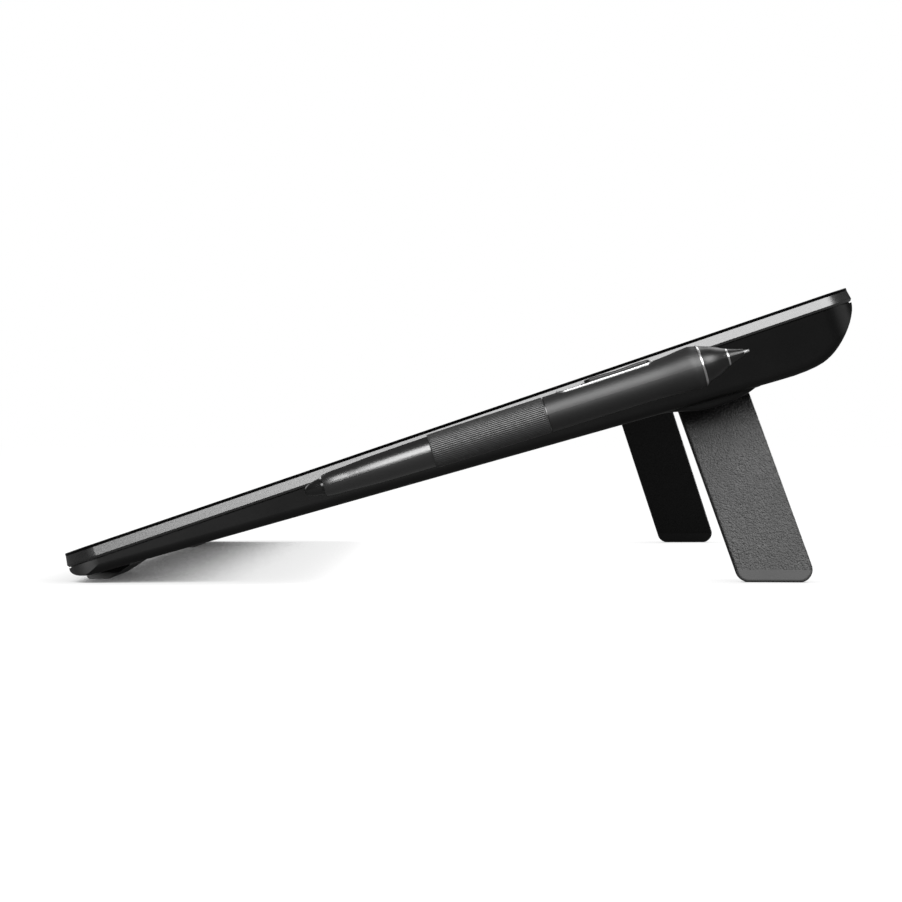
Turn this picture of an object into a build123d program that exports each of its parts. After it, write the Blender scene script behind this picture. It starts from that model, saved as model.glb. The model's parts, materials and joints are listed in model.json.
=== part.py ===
from build123d import *
import math
import os

os.makedirs("parts", exist_ok=True)

# ---------------------------------------------------------------- dimensions
# tablet body, in its own frame: x to the right, u from the front edge to the
# back along the glass, z up from the glass face (all below the glass is -z)
TAB_W = 422.0            # width over the side band
TAB_D = 285.0            # front edge to back edge
CORNER_R = 12.0          # plan corner radius
TILT = 18.8              # working angle on the open legs, degrees
FRONT_LIFT = 9.52        # height of the front top edge above the desk

GLASS_T = 1.05           # cover glass
GLASS_INSET = 0.55       # glass edge inside the widest line of the band
BAND_BOTTOM = 4.1        # depth of the widest line of the side band
LIP_BOTTOM = 4.9         # under face of the side band
SHELL_TOP = 5.3          # visible top edge of the rear housing
SHELL_INSET = 0.3        # housing side face inside the widest line
WALL = 2.0               # housing wall
GAP_DEPTH = 0.8          # depth of the shadow gap between band and housing
SIDE_FILLET = 3.0        # rounding of the bottom side edges

# housing side profile (u, depth)
FRONT_CURVE = [(0.0, 5.3), (0.9, 6.8), (2.8, 8.3), (5.6, 9.35), (9.0, 9.92)]
REAR_CURVE = [(250.0, 22.59), (258.0, 22.85), (263.0, 22.6), (267.8, 21.8), (272.2, 19.9),
              (275.9, 17.2), (278.9, 14.2), (281.4, 11.0), (283.4, 8.0), (284.6, 5.3)]

ACTIVE_W = 344.2         # picture area
ACTIVE_D = 193.6

# legs
LEG_U = 229.95           # centre line of the leg along u
LEG_W = 25.3             # leg width along u
LEG_T = 5.3              # leg plate thickness
LEG_SPLAY = 12.0         # outward lean of the open leg, degrees
HINGE_X = 185.0          # hinge axis, each side of the centre
HINGE_V = 17.6           # hinge axis depth
PIN_R = 1.25             # hinge pin radius
PIN_FIT = 0.05           # running clearance on the radius
LEG_CLR = 0.45           # gap from leg edge to pocket wall
FOOT_CAP = 4.3           # height of the rubber end of the leg
POCKET_IN = 107.0        # inner end of the leg pocket
POCKET_OUT = 188.9       # outer wall of the leg pocket
FAIRING_SAG = [(209.0, 0.0), (213.0, 0.35), (216.5, 1.0), (220.5, 2.0), (225.0, 2.7), (229.0, 2.85),
               (234.0, 2.5), (238.5, 1.75), (241.8, 0.8), (243.8, 0.0)]
POCKET_TOP = 14.45       # depth of the pocket roof

# pen, along its own axis t from the eraser end (t, r)
PEN_L = 157.5
PEN_TAIL_U, PEN_TAIL_V = 86.8, 6.54
PEN_TIP_U, PEN_TIP_V = 244.3, 9.67
PEN_X = 218.9
LOOP_T0, LOOP_T1 = 45.0, 85.2      # elastic loop along the pen axis
LOOP_THICK = 0.45                  # webbing thickness
LOOP_GAP = 0.16                    # gap between webbing and barrel

OUT = {}


# ------------------------------------------------------------------- helpers
def bx(x0, x1, u0, u1, v0, v1):
    """Box from x, u and depth ranges; depth counts down from the glass face."""
    lo, hi = min(v0, v1), max(v0, v1)
    b = Box(abs(x1 - x0), abs(u1 - u0), hi - lo)
    return Pos((x0 + x1) / 2, (u0 + u1) / 2, -(lo + hi) / 2) * b


def rbx(x0, x1, u0, u1, v0, v1, r):
    """Box with rounded plan corners."""
    s = Pos((x0 + x1) / 2, (u0 + u1) / 2) * RectangleRounded(abs(x1 - x0), abs(u1 - u0), r)
    return Pos(0, 0, -max(v0, v1)) * extrude(s, amount=abs(v1 - v0), dir=(0, 0, 1))


def plate(inset, v, r=None):
    """Rounded plan outline of the tablet, inset from its widest line."""
    rr = CORNER_R - inset if r is None else r
    return Pos(0, TAB_D / 2, -v) * RectangleRounded(TAB_W - 2 * inset, TAB_D - 2 * inset, rr)


def slab(inset, v0, v1, r=None):
    return extrude(plate(inset, max(v0, v1), r), amount=abs(v1 - v0), dir=(0, 0, 1))


def cylx(x0, x1, u, v, r):
    return Pos((x0 + x1) / 2, u, -v) * Rot(0, 90, 0) * Cylinder(r, abs(x1 - x0))


def cylu(u0, u1, x, v, r):
    return Pos(x, (u0 + u1) / 2, -v) * Rot(90, 0, 0) * Cylinder(r, abs(u1 - u0))


def cylv(x, u, v0, v1, r):
    return Pos(x, u, -(v0 + v1) / 2) * Cylinder(r, abs(v1 - v0))


def poly_x(pts, x0, x1):
    """Prism along x over a closed polygon of (u, depth) points."""
    w = Wire.make_polygon([Vector(x0, u, -v) for u, v in pts], close=True)
    return extrude(Face(w), amount=abs(x1 - x0), dir=(1, 0, 0))


def mirror_x(s):
    return mirror(s, about=Plane.YZ)


def put(name, shape, body="tablet"):
    OUT[name] = (shape, body)


# ------------------------------------------------------ housing outer surface
def under_v(u):
    """Depth of the flat underside at u."""
    return FRONT_CURVE[-1][1] + (REAR_CURVE[0][1] - FRONT_CURVE[-1][1]) * \
        (u - FRONT_CURVE[-1][0]) / (REAR_CURVE[0][0] - FRONT_CURVE[-1][0])


SLOPE = (REAR_CURVE[0][1] - FRONT_CURVE[-1][1]) / (REAR_CURVE[0][0] - FRONT_CURVE[-1][0])


def side_face(d):
    """Side profile face at x = 0, moved in by d."""
    f = [Vector(0, u, -v) for u, v in FRONT_CURVE]
    r = [Vector(0, u, -v) for u, v in REAR_CURVE]
    s1 = Spline(f, tangents=[Vector(0, 0.35, -1), Vector(0, 1, -SLOPE)])
    l1 = Line(f[-1], r[0])
    s2 = Spline(r, tangents=[Vector(0, 1, -SLOPE), Vector(0, 0.42, 1)])
    l2 = Line(r[-1], f[0])
    return make_face([s1, l1, s2, l2])


outer_prism = extrude(side_face(0), amount=TAB_W / 2 - SHELL_INSET, dir=(1, 0, 0), both=True)
long_edges = [e for e in outer_prism.edges()
              if abs(abs(e.center().X) - (TAB_W / 2 - SHELL_INSET)) < 0.01 and e.center().Z < -SHELL_TOP - 0.5]
try:
    outer_prism = fillet(long_edges, SIDE_FILLET)
    print("side fillet ok")
except Exception as ex:
    print("side fillet not made", ex)
housing_outer = outer_prism & slab(SHELL_INSET, SHELL_TOP, 40.0)

# inside of the shell: a facetted version of the same profile, one wall in
inner_pts = [(2.6, 4.0), (2.6, 5.6), (4.6, 7.2), (7.4, 7.9), (9.0, under_v(9.0) - WALL),
             (250.0, under_v(250.0) - WALL), (258.0, 20.8), (262.4, 20.5), (266.8, 19.7), (270.6, 18.2),
             (274.0, 15.8), (276.9, 12.9), (279.3, 9.8), (281.2, 7.0), (282.2, 4.6), (282.2, 4.0)]
inner_prism = poly_x(inner_pts, -TAB_W / 2, TAB_W / 2) & slab(SHELL_INSET + WALL + 0.1, 3.0, 40.0)
in_x = TAB_W / 2 - SHELL_INSET - WALL - 0.1
inner_prism = inner_prism - bx(in_x - 1.6, in_x + 5, -5, 300, 0, 0.1)

shell = housing_outer - inner_prism
# raised inner step that closes the shadow gap
step = slab(SHELL_INSET + GAP_DEPTH, LIP_BOTTOM, SHELL_TOP + 0.3) - slab(SHELL_INSET + WALL + 0.1, 4.0, 8.0)
shell = shell + step

# ------------------------------------------------------------ band and glass
b_top = plate(GLASS_INSET, GLASS_T)
b_mid = plate(0.0, BAND_BOTTOM)
b_low = plate(0.55, LIP_BOTTOM)
band = loft([b_top, b_mid], ruled=True) + loft([b_mid, b_low], ruled=True)
band_in = slab(9.0, 0.0, 10.0, r=5.0)
# the shelf carries the gasket; the skirt drops inside the housing wall
band = band - band_in
skirt = slab(SHELL_INSET + WALL + 0.25, LIP_BOTTOM, 6.6, r=9.5) - slab(SHELL_INSET + WALL + 1.35, 4.0, 8.0, r=8.4)
skirt = skirt - bx(-230, 230, -1, 15, 4.0, 8.0) - bx(-230, 230, 271, 290, 4.0, 8.0)
band = band + skirt
# recess for the gasket so that the glass sits flush on the band edge
tape_rec = slab(2.0, GLASS_T, GLASS_T + 0.25, r=10.0)
band = band - tape_rec

glass = slab(GLASS_INSET, 0.0, GLASS_T)
try:
    g_edges = [e for e in glass.edges() if abs(e.center().Z) < 0.001]
    glass = chamfer(g_edges, 0.18)
except Exception as ex:
    print("glass chamfer not made", ex)
put("front_glass", glass)

act_u0 = TAB_D / 2 - ACTIVE_D / 2 + 1.0
act = (-ACTIVE_W / 2 - 2.5, ACTIVE_W / 2 + 2.5, act_u0 - 2.5, act_u0 + ACTIVE_D + 2.5)
tape = slab(2.1, GLASS_T, GLASS_T + 0.25, r=9.9) - bx(*act, 0, 4)
put("glass_gasket", tape)

# --------------------------------------------------------- internal sandwich
LCD_T0 = GLASS_T + 0.25
tray = bx(-201.0, 201.0, 12.0, 273.0, LCD_T0 + 0.0, LCD_T0 + 0.9) - bx(*act, 0, 8)
put("panel_carrier", tray)
put("lcd_panel", bx(act[0] + 0.1, act[1] - 0.1, act[2] + 0.1, act[3] - 0.1, GLASS_T + 0.02, GLASS_T + 1.12))
put("backlight_unit", bx(-180.0, 180.0, 38.0, 247.0, 2.25, 4.35))
put("sensor_board", bx(-182.0, 182.0, 36.0, 249.0, 4.45, 5.05))
put("shield_plate", bx(-184.0, 184.0, 34.0, 251.0, 5.15, 5.55))
mb = bx(-98.0, 92.0, 196.0, 262.0, 8.4, 10.0)
mb = mb + bx(-60, -42, 214, 232, 10.0, 11.8) + bx(-20, -8, 236, 248, 10.0, 11.4) + bx(20, 40, 206, 222, 10.0, 12.2) \
    + bx(52, 60, 238, 252, 10.0, 12.6)
for hx, hu in ((-94, 200), (88, 200), (-94, 258), (88, 258)):
    mb = mb - cylv(hx, hu, 8, 11, 1.6)
put("main_board", mb)
# flat flexible cable from the panel edge to the main board
ffc = bx(-14, 14, 255.4, 255.7, 4.45, 8.1) + bx(-14, 14, 251.9, 255.7, 4.45, 4.75) + bx(-14, 14, 240.0, 255.7, 7.9, 8.2)
put("panel_cable", ffc)

# bosses in the shell that carry the main board, and the housing screws
for hx, hu in ((-94, 200), (88, 200), (-94, 258), (88, 258)):
    boss = cylv(hx, hu, 10.05, 21.0, 3.2) & housing_outer
    shell = shell + (boss - cylv(hx, hu, 9.0, 16.0, 1.0))

SCREWS = [(-196, 14), (-70, 24), (70, 24), (196, 14), (-196, 136), (196, 112), (-102, 255), (102, 255), (-198, 262), (198, 262)]
screws = None
for sx, su in SCREWS:
    vb = under_v(min(su, 256))
    shell = shell - cylv(sx, su, vb - 1.2, vb + 3, 2.3) - cylv(sx, su, 2.0, vb + 3, 1.05)
    s = cylv(sx, su, vb - 1.2, vb - 0.25, 2.1) + cylv(sx, su, vb - 3.4, vb - 1.2, 0.95)
    for a in (0, 60, 120):
        s = s - Pos(sx, su, -(vb - 0.35)) * Rot(0, 0, a) * Box(2.2, 0.62, 0.9)
    screws = s if screws is None else screws + s
put("housing_screws", screws)

# ------------------------------------------------------------------- pockets
u0, u1 = LEG_U - LEG_W / 2 - LEG_CLR, LEG_U + LEG_W / 2 + LEG_CLR


def pocket(sign):
    xs = sorted((sign * POCKET_IN, sign * POCKET_OUT))
    void = bx(xs[0], xs[1], u0, u1, POCKET_TOP, 40)
    notch = Pos(sign * (POCKET_IN + 3.0), LEG_U, -24.0) * Sphere(9.0)
    hood = bx(xs[0] - 1.6, xs[1] + 1.6, u0 - 1.6, u1 + 1.6, POCKET_TOP - 1.6, 40) & housing_outer
    return void, notch, hood


for sign in (-1, 1):
    void, notch, hood = pocket(sign)
    nb = Pos(sign * (POCKET_IN + 2.0), LEG_U, 0) * Box(20.5, 19.5, 60)
    dish = (Pos(sign * (POCKET_IN + 3.0), LEG_U, -24.0) * Sphere(10.6)) & housing_outer
    shell = shell + hood + dish
    shell = shell - void - notch
    shell = shell - cylu(u0 - 4.0, u1 + 4.0, sign * HINGE_X, HINGE_V, PIN_R + 0.2)
    hx = sorted((sign * (HINGE_X - 4.0), sign * (HINGE_X + 4.0)))
    # relief in the floor of the shell for the front ear of the hinge bracket
    shell = shell - bx(hx[0], hx[1], u0 - 3.6, u0 - 1.6, 10.0, 19.75)

# -------------------------------------------------------------------- legs
sp = math.radians(LEG_SPLAY)
floor_n = (0.0, math.sin(math.radians(TILT)), math.cos(math.radians(TILT)))   # world up in the tablet frame
th = math.radians(TILT)


def height(x, u, z):
    """Height above the desk of a point of the tablet frame."""
    return FRONT_LIFT + u * math.sin(th) + z * math.cos(th)


def floor_box(h0, h1):
    """A wide slab of space between two heights above the desk, in the tablet frame."""
    b = Pos(0, 0, (h0 + h1) / 2) * Box(900, 900, h1 - h0)
    return Rot(-TILT, 0, 0) * (Pos(0, 0, -FRONT_LIFT) * b)


def leg_parts():
    """Right leg, open, built upright and then leaned outward about the hinge axis."""
    L = 95.0
    pl = bx(-LEG_T / 2, LEG_T / 2, LEG_U - LEG_W / 2, LEG_U + LEG_W / 2, 0.0, L)
    root = cylu(LEG_U - LEG_W / 2, LEG_U + LEG_W / 2, 0.0, 0.0, LEG_T / 2)
    leg = pl + root
    leg = Pos(HINGE_X, 0, -HINGE_V) * Rot(0, -LEG_SPLAY, 0) * leg
    leg = leg & floor_box(0.0, 200.0)
    bot = [e for e in leg.edges()
           if abs(e.length - LEG_T) < 1.2 and abs(height(*e.center())) < 0.9 + LEG_W * 0.0
           or (e.geom_type == GeomType.LINE and abs(height(e.center().X, e.center().Y, e.center().Z)) < 0.4
               and abs(abs(e.center().Y - LEG_U) - LEG_W / 2) < 5 and e.length < 8)]
    bot = list({id(e): e for e in bot}.values())
    try:
        leg = fillet(bot, 4.5)
    except Exception as ex:
        print("leg corner fillet not made", len(bot), ex)
    long = [e for e in leg.edges() if e.length > 40 and e.geom_type == GeomType.LINE]
    try:
        leg = fillet(long, 0.9)
    except Exception as ex:
        print("leg edge fillet not made", len(long), ex)
    leg = leg - cylu(LEG_U - 20, LEG_U + 20, HINGE_X, HINGE_V, PIN_R + PIN_FIT)
    cap = leg & floor_box(-1.0, FOOT_CAP)
    leg = leg - floor_box(-2.0, FOOT_CAP)
    return leg, cap


leg_r, cap_r = leg_parts()
put("leg_right", leg_r, "leg_right")
put("leg_foot_right", cap_r, "leg_right")
put("leg_left", mirror_x(leg_r), "leg_left")
put("leg_foot_left", mirror_x(cap_r), "leg_left")

# hinge pins, brackets, washers, fairings
pin = cylu(LEG_U - 16.5, LEG_U + 16.5, HINGE_X, HINGE_V, PIN_R)
put("leg_hinge_pin_right", pin)
put("leg_hinge_pin_left", mirror_x(pin))
br_u0, br_u1 = u0 - 3.4, u1 + 3.4
bracket = bx(HINGE_X - 9, HINGE_X + 3.8, br_u0, br_u1, POCKET_TOP - 2.9, POCKET_TOP - 1.7)
for ua, ub in ((br_u0, br_u0 + 1.6), (br_u1 - 1.6, br_u1)):
    bracket = bracket + bx(HINGE_X - 3.6, HINGE_X + 3.6, ua, ub, POCKET_TOP - 2.9, HINGE_V + 0.2) \
        + (cylu(ua, ub, HINGE_X, HINGE_V, 2.0) & bx(HINGE_X - 4, HINGE_X + 4, ua, ub, 10, HINGE_V + 2.0))
bracket = bracket - cylu(br_u0 - 1, br_u1 + 1, HINGE_X, HINGE_V, PIN_R + 0.02)
bracket = bracket & (inner_prism + bx(HINGE_X - 3.9, HINGE_X + 3.9, u0 - 3.5, u0 - 1.65, 10.0, 19.7))
for hu in (LEG_U - 12, LEG_U + 12):
    bracket = bracket - cylv(HINGE_X - 6.2, hu, 10, 16, 1.2)
put("leg_hinge_bracket_right", bracket)
put("leg_hinge_bracket_left", mirror_x(bracket))
wash = None
for sgn in (-1, 1):
    for c in (LEG_U - LEG_W / 2 - LEG_CLR / 2, LEG_U + LEG_W / 2 + LEG_CLR / 2):
        w = cylu(c - 0.17, c + 0.17, sgn * HINGE_X, HINGE_V, 2.35) - cylu(c - 1, c + 1, sgn * HINGE_X, HINGE_V, PIN_R + 0.03)
        wash = w if wash is None else wash + w
put("hinge_washers", wash)


def fairing():
    """Shallow lens-shaped cover on the underside, between the leg and the side face."""
    pts = []
    ua, ub = 209.0, 243.8
    top = [(ub, under_v(ub) - 1.0), (ua, under_v(ua) - 1.0)]
    for u, sag in FAIRING_SAG:
        pts.append((u, under_v(u) + 0.02 + sag))
    xf = HINGE_X + 6.4
    face = make_face([Spline([Vector(xf, u, -v) for u, v in pts]),
                      Polyline(Vector(xf, pts[-1][0], -pts[-1][1]), Vector(xf, top[0][0], -top[0][1]),
                               Vector(xf, top[1][0], -top[1][1]), Vector(xf, pts[0][0], -pts[0][1]))])
    f = extrude(face, amount=207.6 - xf, dir=(1, 0, 0))
    try:
        es = [e for e in f.edges() if e.geom_type == GeomType.BSPLINE and e.center().X > 200]
        f = fillet(es, 1.6)
    except Exception as ex:
        print("fairing fillet not made", ex)
    return f - housing_outer


fair = fairing()
put("leg_hinge_cover_right", fair)
put("leg_hinge_cover_left", mirror_x(fair))

# ---------------------------------------------------------------- front feet
foot_pts = [(2.0, 7.4), (2.15, 10.3), (2.45, 10.87), (8.7, 13.0), (9.4, 13.05), (14.0, 11.95),
            (17.6, 11.0), (18.2, 10.2), (18.2, 9.0), (9.0, 8.6)]
FOOT_IN, FOOT_OUT = 128.0, 178.0        # each front foot runs between these distances from the centre line


def foot_bar(x0, x1):
    b = poly_x(foot_pts, x0, x1)
    b = b & floor_box(0.0, 60.0)
    e = [k for k in b.edges() if k.geom_type == GeomType.LINE and abs(k.center().X - x0) < 0.01 or
         k.geom_type == GeomType.LINE and abs(k.center().X - x1) < 0.01]
    return b


ff = None
for sgn in (-1, 1):
    a, b2 = sorted((sgn * FOOT_IN, sgn * FOOT_OUT))
    k = foot_bar(a, b2) - housing_outer
    # two pegs through the housing wall hold each foot
    for px in (FOOT_IN + 9.0, FOOT_OUT - 9.0):
        pg = cylv(sgn * px, 11.0, 7.0, 11.5, 1.5)
        shell = shell - cylv(sgn * px, 11.0, 5.0, 13.0, 1.52)
        k = k + (pg & bx(-300, 300, 0, 60, 7.3, 11.5))
    ff = k if ff is None else ff + k
put("front_feet", ff)

rf = None
for sgn in (-1, 1):
    cx = sgn * 62.0
    pad = rbx(cx - 28, cx + 28, 251.6, 258.0, 21.2, 24.0, 3.1)
    cut = rbx(cx - 28.05, cx + 28.05, 251.55, 258.05, 21.9, 26.0, 3.15)
    pad = pad & bx(-400, 400, 0, 300, 21.9, 24.0)
    try:
        pad = fillet([e for e in pad.edges() if abs(e.center().Z + 24.0) < 0.01], 0.5)
    except Exception as ex:
        print("pad fillet", ex)
    shell = shell - cut
    rf = pad if rf is None else rf + pad
put("rear_feet", rf)

# ------------------------------------------- back edge: port, button, lock slot
# port socket in an oval opening
PORT_X, PORT_V = -150.0, 9.3
port_cut = Pos(PORT_X, 283, -PORT_V) * Rot(90, 0, 0) * extrude(RectangleRounded(9.8, 4.0, 1.98), amount=12, both=True)
shell = shell - (port_cut & bx(-400, 400, 268, 300, 0, 30))
shell_rec = Pos(PORT_X, 283, -PORT_V) * Rot(90, 0, 0) * extrude(RectangleRounded(9.2, 3.5, 1.74), amount=40, both=True)
sock = (Pos(PORT_X, 276.4, -PORT_V) * Rot(90, 0, 0) * extrude(RectangleRounded(9.0, 3.3, 1.64), amount=3.9, both=True))
sock = sock - (Pos(PORT_X, 277.4, -PORT_V) * Rot(90, 0, 0) * extrude(RectangleRounded(8.4, 2.7, 1.34), amount=3.9, both=True))
sock = sock + (Pos(PORT_X, 276.2, -PORT_V) * Box(6.7, 6.0, 0.7))
put("port_socket", sock)
put("port_board", bx(PORT_X - 14, PORT_X + 14, 262.0, 279.0, PORT_V + 1.8, PORT_V + 3.0) & inner_prism)

# power button, sliding in the back face
BTN_X, BTN_V = 150.0, 9.6
BTN_L, BTN_H = 15.0, 2.8
bt_cut = Pos(BTN_X, 283, -BTN_V) * Rot(90, 0, 0) * extrude(RectangleRounded(BTN_L + 0.3, BTN_H + 0.3, 1.54), amount=12, both=True)
shell = shell - (bt_cut & bx(-400, 400, 270, 300, 0, 30))
btn = Pos(BTN_X, 283, -BTN_V) * Rot(90, 0, 0) * extrude(RectangleRounded(BTN_L, BTN_H, 1.39), amount=12, both=True)
btn = btn & bx(BTN_X - 20, BTN_X + 20, 275.5, 286.0, 5, 14) & (Pos(0, 0.55, -0.35) * housing_outer)
btn = btn + bx(BTN_X - 6, BTN_X + 6, 275.5, 277.0, BTN_V - 2.0, BTN_V + 2.0)
try:
    btn = fillet([e for e in btn.edges() if e.center().Y > 281.0], 0.3)
except Exception as ex:
    print("button fillet", ex)
put("power_button", btn, "power_button")
put("button_board", bx(BTN_X - 16, BTN_X + 16, 272.0, 273.2, 6.0, 13.6) + bx(BTN_X - 3, BTN_X + 3, 273.2, 274.4, 8.0, 11.2))
# power light beside the button
lp_v = 9.6
shell = shell - (cylu(270, 290, BTN_X + 14, lp_v, 0.8))
lp = cylu(273.25, 281.6, BTN_X + 14, lp_v, 0.75)
put("power_light", lp)

# lock slot
SL_X, SL_V = -120.0, 9.6
sl_cut = Pos(SL_X, 283, -SL_V) * Rot(90, 0, 0) * extrude(RectangleRounded(7.0, 3.0, 1.2), amount=12, both=True)
shell = shell - (sl_cut & bx(-400, 400, 276, 300, 0, 30))
slp = bx(SL_X - 9, SL_X + 9, 273.6, 275.0, 6.0, 13.4)
slp = slp - (Pos(SL_X, 274, -SL_V) * Rot(90, 0, 0) * extrude(RectangleRounded(7.0, 3.0, 1.2), amount=4, both=True))
put("lock_slot_plate", slp & inner_prism)

# ------------------------------------- nib holder and remover beside left pocket
# spare nibs stand in a block at the roof end of the left leg pocket
NX, NU0 = -(POCKET_IN + 42.0), LEG_U - 7.5
nib_block = bx(NX - 22, NX + 22, LEG_U - 9, LEG_U + 9, POCKET_TOP - 1.6 - 2.2, POCKET_TOP - 1.62)
# the block is above the pocket roof; the roof is pierced for each nib
holes, nibs = None, None
for i in range(4):
    for j in range(2):
        hx = NX - 15 + 10 * i
        hu = LEG_U - 4.5 + 9 * j
        nib_block = nib_block - cylv(hx, hu, 8, 20, 0.8)
        shell = shell - cylv(hx, hu, POCKET_TOP - 3, POCKET_TOP + 1, 0.85)
        n = cylv(hx, hu, POCKET_TOP - 7.2, POCKET_TOP + 0.1, 0.72)
        nibs = n if nibs is None else nibs + n
put("nib_holder", nib_block)
put("spare_nibs", nibs)
ring = cylv(-(POCKET_OUT - 13.5), LEG_U, POCKET_TOP, POCKET_TOP + 0.25, 3.0) - cylv(-(POCKET_OUT - 13.5), LEG_U, 10, 30, 1.0)
put("nib_remover", ring)

# ---------------------------------------------------------------------- pen
PEN_A = math.atan2(-(PEN_TIP_V - PEN_TAIL_V), PEN_TIP_U - PEN_TAIL_U)     # rise of the axis in the tablet frame
PEN_LOC = Pos(PEN_X, PEN_TAIL_U, -PEN_TAIL_V) * Rot(math.degrees(PEN_A), 0, 0) * Rot(-90, 0, 0)
# in pen space the axis is +Z from the eraser (0) to the nib (PEN_L);
# pen -Y faces away from the desk, pen +X is the tablet's +x


def rev(pts, smooth=False):
    """Turned piece from (t, r) points; the profile closes on the axis."""
    p = [Vector(r, 0, t) for t, r in pts]
    if smooth:
        c = Spline(p)
        e = [c]
    else:
        e = [Polyline(*p)]
    first, last = p[0], p[-1]
    if last.X > 1e-6:
        e.append(Line(last, Vector(0, 0, last.Z)))
    if first.X > 1e-6:
        e.append(Line(Vector(0, 0, first.Z), first))
    e.append(Line(Vector(0, 0, last.Z), Vector(0, 0, first.Z)))
    return revolve(make_face(e), axis=Axis.Z)


def cylt(t0, t1, r):
    return Pos(0, 0, (t0 + t1) / 2) * Cylinder(r, t1 - t0)


barrel = rev([(6.9, 3.57), (8.0, 3.8), (14.0, 4.19), (20.0, 4.55), (28.0, 4.9), (36.0, 5.12), (45.0, 5.3), (60, 5.44), (72, 5.54), (85.9, 5.62)], smooth=True)
barrel = barrel + cylt(85.9, 88.5, 5.0)
barrel = barrel - cylt(9.5, 90, 2.95) - cylt(0, 12, 2.3)
put("pen_barrel", barrel, "pen")
eraser = rev([(0.0, 0.0), (0.35, 1.0), (1.2, 1.75), (2.5, 2.25), (4.0, 2.6), (6.1, 2.95)], smooth=True)
eraser = eraser + cylt(6.1, 13.5, 2.24)
put("pen_eraser", eraser, "pen_eraser")
grip = rev([(86.0, 6.12), (95, 6.17), (101, 6.2), (110, 6.25), (117, 6.32), (125.5, 6.5), (129.5, 6.75), (133.6, 7.18),
            (136.0, 7.4), (137.8, 7.45), (139.4, 7.12), (140.2, 6.97)], smooth=True)
grip = grip - cylt(80, 89, 5.03) - cylt(80, 150, 4.6)
metal = rev([(140.2, 7.03), (140.32, 7.06), (140.8, 6.88), (140.92, 6.79)]) - cylt(135, 150, 4.6)
cone = rev([(140.92, 6.7), (141.7, 6.4), (143.7, 5.75), (145.7, 5.0), (147.6, 4.05), (149.5, 3.12)], smooth=True)
cone = cone + cylt(134.0, 141.2, 4.55)
cone = cone - cylt(130, 146.2, 3.7) - cylt(140, 160, 1.3)
nring = rev([(149.5, 3.1), (150.1, 2.86)]) - cylt(140, 160, 1.3)
ntip = rev([(150.1, 2.84), (151.8, 2.25), (153.8, 1.6), (155.4, 1.12)], smooth=True) - cylt(140, 160, 0.86)
put("pen_ring", metal, "pen")
put("pen_nose_cone", cone, "pen")
put("pen_nose_ring", nring, "pen")
put("pen_nose_tip", ntip, "pen")
nib = rev([(132.0, 0.8), (155.2, 0.8), (155.75, 0.62), (156.8, 0.52), (157.3, 0.34), (157.5, 0.0)])
put("pen_nib", nib, "pen_nib")
coil = cylt(118.0, 131.0, 3.4) - cylt(100, 140, 1.0)
put("pen_coil", coil, "pen")
circ = Pos(0, 0, 66.0) * Box(4.6, 1.0, 98.0) + Pos(0, -1.0, 98.0) * Box(3.0, 1.0, 8.0) + Pos(0, 0.9, 50.0) * Box(3.0, 0.8, 10.0)
circ = circ & cylt(15.0, 115.0, 2.9)
put("pen_circuit", circ, "pen")

# side switch: a long rim let into the grip, with a two-way rocker inside it
SW0, SW1 = 91.0, 125.5
RK0, RK1 = 101.0, 124.6
SW_W = 6.0


def rr_prism(t0, t1, w, y0, y1, r):
    s = RectangleRounded(w, t1 - t0, r)
    p = extrude(s, amount=abs(y1 - y0), dir=(0, 0, 1))
    return Pos(0, max(y0, y1), (t0 + t1) / 2) * Rot(90, 0, 0) * p


rim_cut = rr_prism(SW0, SW1, SW_W, -9.0, -4.2, 2.9)
grip_body = rev([(86.0, 6.12), (95, 6.17), (101, 6.2), (110, 6.25), (117, 6.32), (125.5, 6.5), (129.5, 6.75), (133.6, 7.18),
                 (136.0, 7.4), (137.8, 7.45), (139.4, 7.12), (140.2, 6.97)], smooth=True)
rim_outer = rev([(86.0, 6.34), (101, 6.42), (117, 6.54), (125.5, 6.72), (129.5, 6.95)], smooth=True)
grip = grip - rim_cut
put("pen_grip", grip, "pen")
rim = (rim_outer & rr_prism(SW0 + 0.04, SW1 - 0.04, SW_W - 0.08, -9.0, -4.7, 2.86)) - cylt(80, 150, 4.6)
rim = rim - rr_prism(RK0 - 0.2, RK1 + 0.2 - 0.3, SW_W - 1.5, -9.0, -4.0, 2.2)
rim = rim - rr_prism(SW0 + 0.75, RK0 - 0.9, SW_W - 1.5, -9.0, -5.85, 1.9)
put("pen_switch_bezel", rim, "pen")
inlay = (rev([(86.0, 6.1), (101, 6.2), (117, 6.3)], smooth=True) & rr_prism(SW0 + 0.8, RK0 - 0.95, SW_W - 1.6, -9.0, -5.86, 1.85))
put("pen_switch_inlay", inlay, "pen")
rk_o = rev([(98.0, 7.0), (101.4, 7.25), (106, 7.42), (112.8, 7.22), (119, 7.5), (124.2, 7.4), (127.0, 7.2)], smooth=True)
rk = rk_o & rr_prism(RK0 + 0.1, RK1 - 0.4, SW_W - 1.9, -9.0, -5.5, 2.0)
rk = rk - cylt(80, 150, 5.0)
try:
    rk = fillet([e for e in rk.edges() if e.center().Y < -6.2], 0.3)
except Exception as ex:
    print("rocker fillet", ex)
put("pen_side_switch", rk, "pen_side_switch")

# --------------------------------------------------------- elastic pen loop
def pen_r(t):
    tab = [(44.0, 5.285), (60, 5.44), (72, 5.54), (86.0, 5.625)]
    for (a, ra), (b, rb) in zip(tab, tab[1:]):
        if t <= b:
            return ra + (rb - ra) * (t - a) / (b - a)
    return tab[-1][1]


lo_r0, lo_r1 = pen_r(LOOP_T0) + LOOP_GAP + 0.02, pen_r(LOOP_T1) + LOOP_GAP + 0.02
side_x = TAB_W / 2 - SHELL_INSET            # housing side face
ped = PEN_X - side_x                        # pen axis outside the side face


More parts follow.
